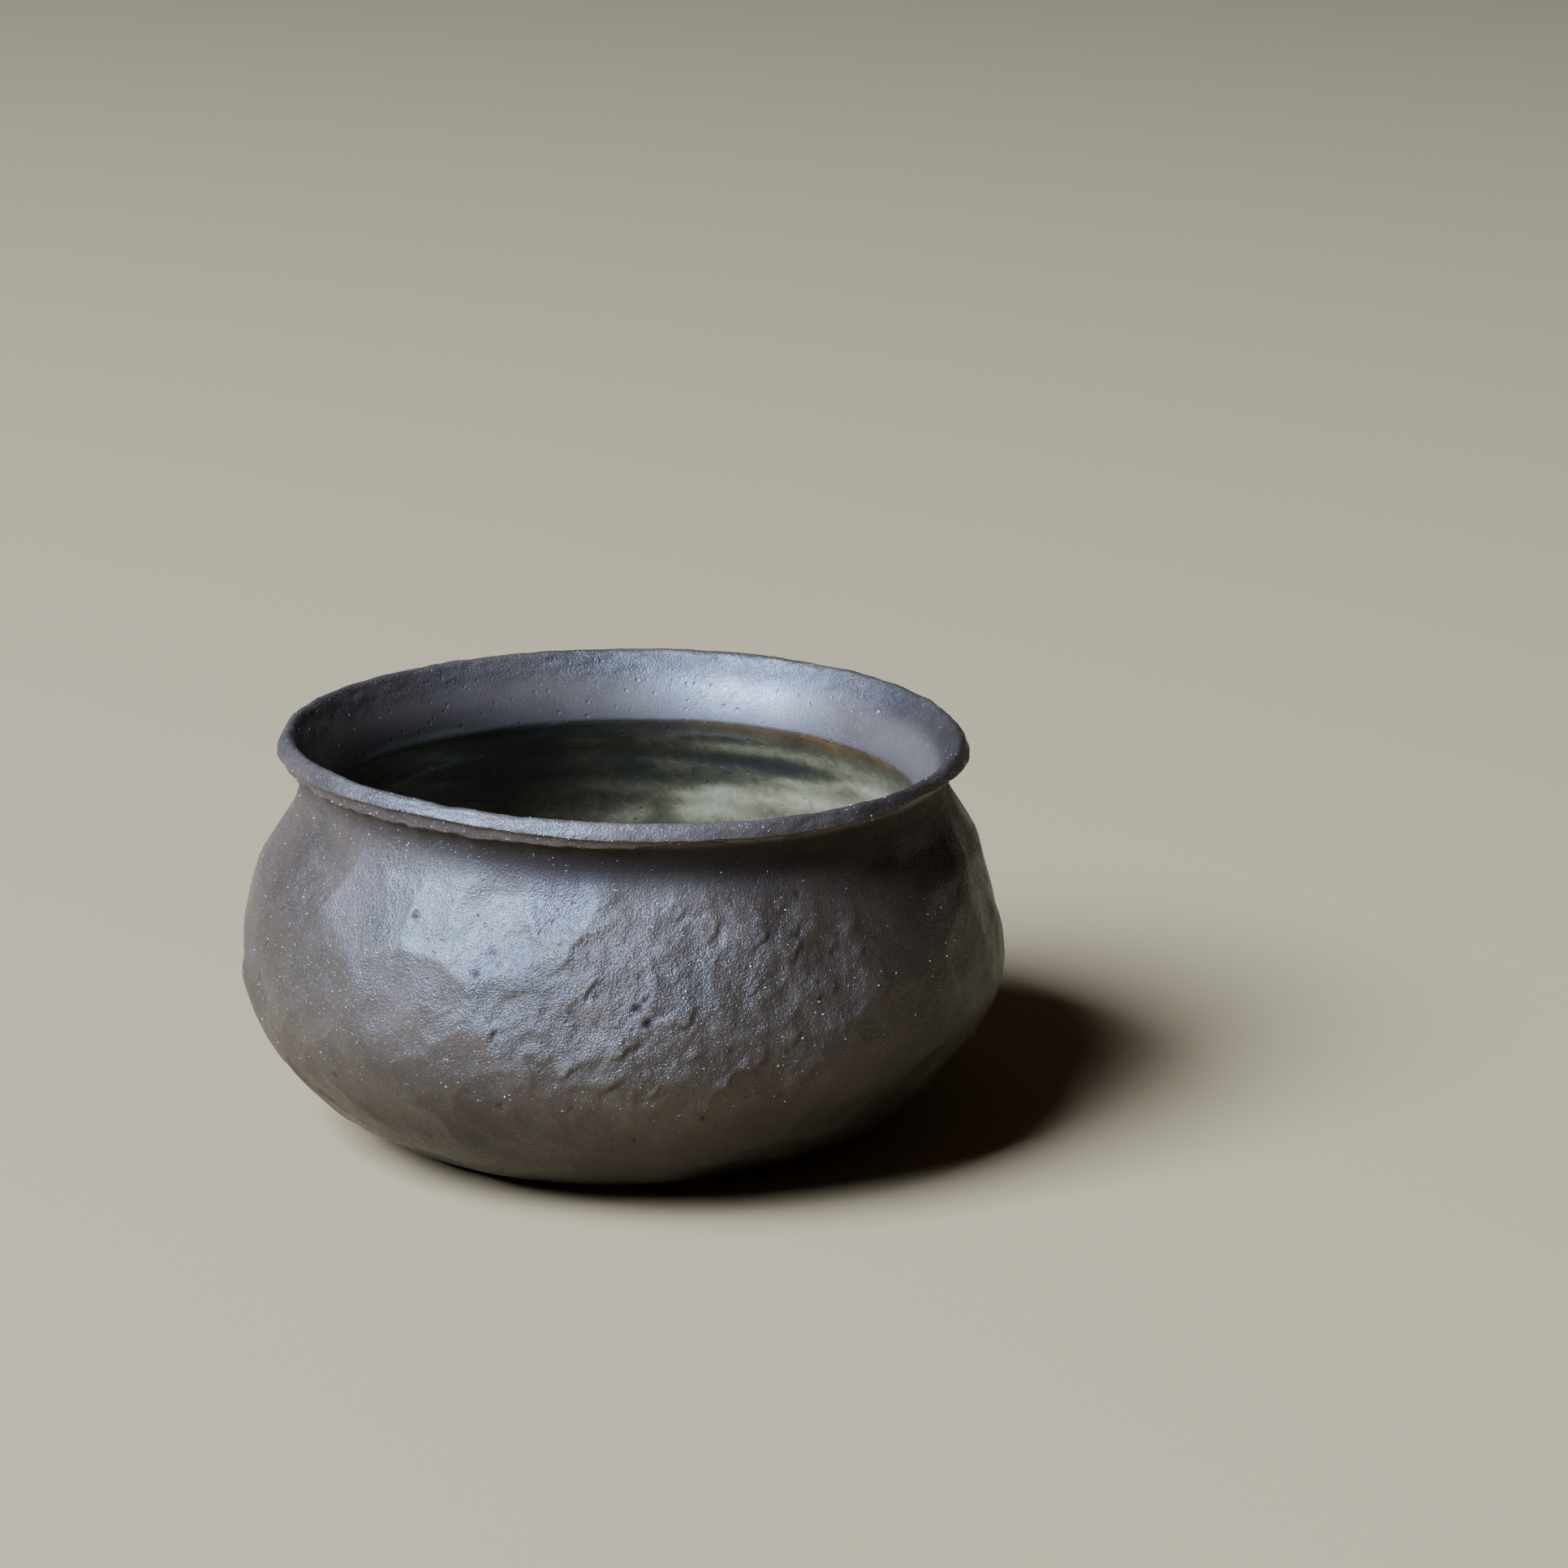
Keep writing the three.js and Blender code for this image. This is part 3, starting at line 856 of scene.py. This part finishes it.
# ---- materials -----------------------------------------------------------------------
class Shader:
    """Short names for building a node material."""

    def __init__(self, name):
        self.material = bpy.data.materials.new(name)
        self.material.use_nodes = True
        self.nodes = self.material.node_tree.nodes
        self.link = self.material.node_tree.links.new
        self.surface = self.nodes["Principled BSDF"]
        place = self.nodes.new("ShaderNodeTexCoord").outputs["Object"]
        scale = self.nodes.new("ShaderNodeVectorMath")
        scale.operation = "SCALE"
        scale.inputs["Scale"].default_value = 1 / MM
        self.link(place, scale.inputs[0])
        self.place = scale.outputs["Vector"]

    def shrunk(self, size):
        """The place on the bowl in units of that many millimetres."""
        mapping = self.nodes.new("ShaderNodeMapping")
        mapping.inputs["Scale"].default_value = [1 / size] * 3
        self.link(self.place, mapping.inputs["Vector"])
        return mapping.outputs["Vector"]

    def noise(self, size, detail, rough, warp=0.0):
        """Noise 0..1 whose features are about size millimetres across."""
        texture = self.nodes.new("ShaderNodeTexNoise")
        texture.inputs["Scale"].default_value = 1.0
        texture.inputs["Detail"].default_value = detail
        texture.inputs["Roughness"].default_value = rough
        texture.inputs["Distortion"].default_value = warp
        self.link(self.shrunk(size), texture.inputs["Vector"])
        return texture.outputs["Fac"]

    def spots(self, size, small, large):
        """1 inside round spots on a scatter of cells of that size, 0 outside them."""
        texture = self.nodes.new("ShaderNodeTexVoronoi")
        texture.inputs["Scale"].default_value = 1.0
        self.link(self.shrunk(size), texture.inputs["Vector"])
        return self.ranged(texture.outputs["Distance"], large, small)

    def value(self, name):
        """One of the numbers stored with the mesh."""
        attribute = self.nodes.new("ShaderNodeAttribute")
        attribute.attribute_name = name
        return attribute.outputs["Fac"]

    def ranged(self, fac, low, high, out_low=0.0, out_high=1.0):
        """Eases from out_low to out_high while fac goes from low to high."""
        node = self.nodes.new("ShaderNodeMapRange")
        node.interpolation_type = "SMOOTHSTEP"
        node.inputs["From Min"].default_value = low
        node.inputs["From Max"].default_value = high
        node.inputs["To Min"].default_value = out_low
        node.inputs["To Max"].default_value = out_high
        self.link(fac, node.inputs["Value"])
        return node.outputs["Result"]

    def math(self, kind, a, b=0.0):
        node = self.nodes.new("ShaderNodeMath")
        node.operation = kind
        for socket, given in zip(node.inputs, (a, b)):
            if isinstance(given, (int, float)):
                socket.default_value = given
            else:
                self.link(given, socket)
        return node.outputs[0]

    def ramp(self, fac, stops):
        node = self.nodes.new("ShaderNodeValToRGB")
        ramp = node.color_ramp
        for index, (position, colour) in enumerate(stops):
            stop = ramp.elements[index] if index < 2 else ramp.elements.new(position)
            stop.position = position
            stop.color = (*colour, 1)
        self.link(fac, node.inputs["Fac"])
        return node.outputs["Color"]

    def over(self, below, fac, colour):
        """The colour below, covered by another one as far as fac says."""
        node = self.nodes.new("ShaderNodeMix")
        node.data_type = "RGBA"
        sockets = {socket.identifier: socket for socket in node.inputs}
        self.link(fac, sockets["Factor_Float"])
        self.link(below, sockets["A_Color"])
        if isinstance(colour, tuple):
            sockets["B_Color"].default_value = (*colour, 1)
        else:
            self.link(colour, sockets["B_Color"])
        return next(socket for socket in node.outputs if socket.identifier == "Result_Color")

    def times(self, a, b):
        return self.math("MULTIPLY", a, b)

    def bump(self, height, depth, below=None):
        node = self.nodes.new("ShaderNodeBump")
        node.inputs["Strength"].default_value = 1.0
        node.inputs["Distance"].default_value = depth * MM
        self.link(height, node.inputs["Height"])
        if below is not None:
            self.link(below, node.inputs["Normal"])
        return node.outputs["Normal"]

    def finish(self, colour, roughness, normal):
        self.link(colour, self.surface.inputs["Base Color"])
        self.link(roughness, self.surface.inputs["Roughness"])
        self.link(normal, self.surface.inputs["Normal"])
        return self.material


# Colours are linear; roughness runs from smoothest to roughest in patches.
WALL_CLAY = dict(
    dark=(0.048, 0.029, 0.019),
    mid=(0.064, 0.040, 0.026),
    light=(0.082, 0.053, 0.036),
    smoothest=0.29,
    roughest=0.41,
    shine=0.68,
)
LIP_CLAY = dict(
    dark=(0.039, 0.025, 0.018),
    mid=(0.053, 0.034, 0.025),
    light=(0.069, 0.047, 0.035),
    smoothest=0.34,
    roughest=0.46,
    shine=0.62,
)
# Darker than the wall clay: painted shade on the underside near the table.
BASE_CLAY = dict(
    dark=(0.042, 0.026, 0.017),
    mid=(0.056, 0.035, 0.023),
    light=(0.072, 0.047, 0.032),
    smoothest=0.42,
    roughest=0.54,
    shine=0.4,
)
DUST_COLOUR = (0.22, 0.20, 0.185)
# Colour of the painted highlight on the front of the lip and the lower inner flare.
PAINTED_HIGHLIGHT_COLOUR = (0.150, 0.105, 0.080)
# Painted shade, also the colour of the stain by the glaze edge.
SHADE_AND_STAIN_COLOUR = (0.014, 0.009, 0.007)


def scaled(colour, factor):
    return tuple(factor * channel for channel in colour)


def clay(name, dark, mid, light, smoothest, roughest, shine):
    """Iron-bearing stoneware: patchy grey-brown, darker and duller with painted shade in hollows, under the
    lip and on the right flank, darker towards the foot, stained by the glaze edge, and lighter with a
    painted highlight where polished.
    """
    s = Shader(name)
    flank_and_foot_dark = s.times(s.value("flank_and_foot_dark"), s.math("SUBTRACT", 1.0, s.value("polish_and_highlight")))
    colour = clay_colour(s, dark, mid, light, flank_and_foot_dark)
    material = s.finish(colour, clay_roughness(s, smoothest, roughest), clay_grain(s))
    # Painted shade also lowers the shine.
    dull = s.math("MAXIMUM", flank_and_foot_dark, s.value("painted_shade_and_stain"))
    s.link(s.ranged(dull, 0.0, 0.9, shine, 0.45 * shine), s.surface.inputs["Specular IOR Level"])
    return material


def clay_colour(s, dark, mid, light, flank_and_foot_dark):
    """Patches, freckles and dust, then worn lighter ridges, and on top painted shade in hollows, a painted
    highlight where polished, painted shade on the right flank with darker clay towards the foot, and
    painted shade in pits, cracks and under the lip with a stain by the glaze edge.
    """
    patches = s.ranged(s.noise(16, 4, 0.6, warp=0.6), 0.3, 0.7)
    freckles = s.ranged(s.noise(0.7, 2, 0.6), 0.56, 0.72)
    dust = s.ranged(s.noise(0.45, 1, 0.5), 0.62, 0.76)
    bend = s.value("bend")
    colour = s.ramp(patches, [(0.0, dark), (0.5, mid), (1.0, light)])
    colour = s.over(colour, s.times(freckles, 0.3), scaled(dark, 0.5))
    colour = s.over(colour, s.times(dust, 0.35), DUST_COLOUR)
    colour = s.over(colour, s.ranged(bend, 0.1, 1.0, 0.0, 0.3), scaled(light, 1.4))
    # Painted shade in concave places.
    colour = s.over(colour, s.ranged(bend, -0.15, -1.0, 0.0, 0.5), scaled(dark, 0.5))
    # Painted highlight on the front of the lip and the lower inner flare.
    colour = s.over(colour, s.times(s.value("polish_and_highlight"), 0.45), PAINTED_HIGHLIGHT_COLOUR)
    # Painted shade on the right flank, and darker towards the foot.
    colour = s.over(colour, flank_and_foot_dark, scaled(dark, 0.2))
    # Painted shade in pits, cracks and under the lip, and the stain by the glaze edge.
    return s.over(colour, s.times(s.value("painted_shade_and_stain"), 0.85), SHADE_AND_STAIN_COLOUR)


def clay_roughness(s, smoothest, roughest):
    rough = s.ranged(s.noise(7, 3, 0.6), 0.3, 0.7, smoothest, roughest)
    rough = s.math("ADD", rough, s.ranged(s.noise(0.6, 2, 0.6), 0.3, 0.7, -0.05, 0.06))
    for name, change in (("coarse", 0.06), ("painted_shade_and_stain", 0.35), ("polish_and_highlight", -0.05)):
        rough = s.math("ADD", rough, s.times(s.value(name), change))
    return rough


def clay_grain(s):
    """Bumps too small for the mesh: grit and sand where the clay is coarse, fine pits all over."""
    coarse = s.value("coarse")
    everywhere = s.math("ADD", coarse, 0.2)
    normal = s.bump(s.times(s.noise(1.2, 3, 0.6), everywhere), 0.07)
    normal = s.bump(s.times(s.noise(0.3, 2, 0.6), everywhere), 0.18, normal)
    normal = s.bump(s.times(s.spots(0.75, 0.12, 0.36), coarse), 0.05, normal)
    normal = s.bump(s.spots(2.1, 0.05, 0.2), -0.07, normal)
    return s.bump(s.spots(0.9, 0.05, 0.18), -0.03, normal)


# From bare dark glaze to milky ash.
GLAZE_COLOURS = (
    (0.0, (0.034, 0.030, 0.023)),
    (0.2, (0.055, 0.046, 0.026)),
    (0.4, (0.110, 0.088, 0.044)),
    (0.6, (0.240, 0.185, 0.095)),
    (0.85, (0.395, 0.32, 0.175)),
)
IRON_COLOURS = ((0.3, (0.050, 0.027, 0.010)), (0.7, (0.125, 0.068, 0.024)))
CRYSTAL_COLOUR = (0.30, 0.30, 0.24)


def ash_glaze():
    """Glossy runny ash glaze: olive over dark, with milky cream clouds and an iron edge."""
    s = Shader("ash_glaze")
    thin = s.value("thin")
    curdle = s.ranged(s.noise(2.4, 4, 0.65, warp=1.2), 0.25, 0.75, -0.09, 0.09)
    tone = s.math("ADD", s.value("tone"), curdle)
    crystals = s.ranged(s.noise(0.35, 2, 0.6), 0.66, 0.8)
    colour = s.ramp(tone, GLAZE_COLOURS)
    colour = s.over(colour, s.value("iron"), s.ramp(s.noise(5, 3, 0.6), IRON_COLOURS))
    colour = s.over(colour, s.times(crystals, 0.25), CRYSTAL_COLOUR)
    rough = s.math("ADD", s.ranged(tone, 0.3, 0.9, 0.13, 0.34), s.times(thin, 0.3))
    normal = s.bump(s.noise(3.2, 2, 0.5), 0.10)
    normal = s.bump(s.spots(3.0, 0.03, 0.16), -0.08, normal)
    material = s.finish(colour, rough, normal)
    s.link(s.ranged(thin, 0.0, 0.8, 0.5, 0.15), s.surface.inputs["Specular IOR Level"])
    s.link(s.ranged(thin, 0.0, 0.8, 0.25, 0.0), s.surface.inputs["Coat Weight"])
    s.surface.inputs["Coat Roughness"].default_value = 0.08
    return material


def feldspar():
    """Glassy pale grey to cream mineral."""
    s = Shader("feldspar_grain")
    colour = s.ramp(s.noise(1.5, 2, 0.5), [(0.3, (0.42, 0.40, 0.37)), (0.7, (0.75, 0.73, 0.69))])
    rough = s.ranged(s.noise(0.8, 2, 0.5), 0.3, 0.7, 0.2, 0.45)
    return s.finish(colour, rough, s.bump(s.noise(0.15, 2, 0.5), 0.02))


# ---- stage -----------------------------------------------------------------------------
FLOOR_HALF = 4.0
FLOOR_COLOUR = (0.37, 0.235, 0.105, 1)
WINDOW_DIRECTION = Vector((-0.5745, -0.4329, 0.6947))  # to the left and in front, 44 degrees up
WINDOW_DISTANCE = 3.2
WINDOW_SIDE = 1.7
WINDOW_POWER = 670.0
WINDOW_COLOUR = (0.45, 0.64, 1.0)
ROOM_COLOUR = (1.0, 0.93, 0.84, 1)
ROOM_STRENGTH = 0.04
LIT_HEIGHT = 0.035  # the window faces this height on the axis of the bowl


def floor():
    mesh = bpy.data.meshes.new("floor")
    half = FLOOR_HALF
    corners = [(-half, -half, 0), (half, -half, 0), (half, half, 0), (-half, half, 0)]
    mesh.from_pydata(corners, [], [(0, 1, 2, 3)])
    obj = bpy.data.objects.new("floor", mesh)
    bpy.context.scene.collection.objects.link(obj)
    s = Shader("pale_floor")
    s.surface.inputs["Base Color"].default_value = FLOOR_COLOUR
    s.surface.inputs["Roughness"].default_value = 0.85
    mesh.materials.append(s.material)


def window():
    """One large soft light."""
    light = bpy.data.lights.new("window", "AREA")
    light.shape = "SQUARE"
    light.size = WINDOW_SIDE
    light.energy = WINDOW_POWER
    light.color = WINDOW_COLOUR
    obj = bpy.data.objects.new("window", light)
    towards = WINDOW_DIRECTION.normalized()
    obj.location = Vector((0, 0, LIT_HEIGHT)) + towards * WINDOW_DISTANCE
    obj.rotation_euler = towards.to_track_quat("Z", "Y").to_euler()
    bpy.context.scene.collection.objects.link(obj)


def room():
    """The weak light that comes from all sides."""
    world = bpy.data.worlds.new("room")
    world.use_nodes = True
    world.node_tree.nodes["Background"].inputs["Color"].default_value = ROOM_COLOUR
    world.node_tree.nodes["Background"].inputs["Strength"].default_value = ROOM_STRENGTH
    bpy.context.scene.world = world


# The bowl sits left of and below the middle of the picture, seen from a little above.
FIELD_OF_VIEW = math.radians(19.42)
VIEW_DISTANCE = 0.721
VIEW_ELEVATION = math.radians(17.3)
AIM_HEIGHT = 0.031
ACROSS, DOWN = -0.1038, 0.0894  # where the aim point falls, in picture widths from the middle


def camera():
    data = bpy.data.cameras.new("camera")
    data.sensor_fit = "HORIZONTAL"
    data.angle = FIELD_OF_VIEW
    data.clip_start = 0.01
    obj = bpy.data.objects.new("camera", data)
    widths = 2 * math.tan(FIELD_OF_VIEW / 2)
    pitch = VIEW_ELEVATION - math.atan(DOWN * widths)
    forward = Vector((0, math.cos(pitch), -math.sin(pitch)))
    up = Vector((0, math.sin(pitch), math.cos(pitch)))
    ray = (forward + Vector((1, 0, 0)) * ACROSS * widths - up * DOWN * widths).normalized()
    obj.location = Vector((0, 0, AIM_HEIGHT)) - ray * VIEW_DISTANCE
    obj.rotation_euler = (math.pi / 2 - pitch, 0, 0)
    bpy.context.scene.collection.objects.link(obj)
    bpy.context.scene.camera = obj


# ---- the bowl ----------------------------------------------------------------------------
def main():
    skin = Skin()
    pieces = (
        (build_base(skin), clay("base_clay", **BASE_CLAY), "base_clay", "base_slab"),
        (build_wall(skin), clay("wall_clay", **WALL_CLAY), "wall_clay", "bowl_wall"),
        (build_lip(skin), clay("lip_clay", **LIP_CLAY), "lip_clay", "lip_band"),
        (build_glaze(skin), ash_glaze(), "ash_glaze", "interior_glaze"),
        (build_specks(skin), feldspar(), "wall_clay", None),
    )
    for piece, material, slot, node in pieces:
        piece.data.materials.append(material)
        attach(piece, "root")
        if node:
            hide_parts(node)
    floor()
    window()
    room()
    camera()


main()
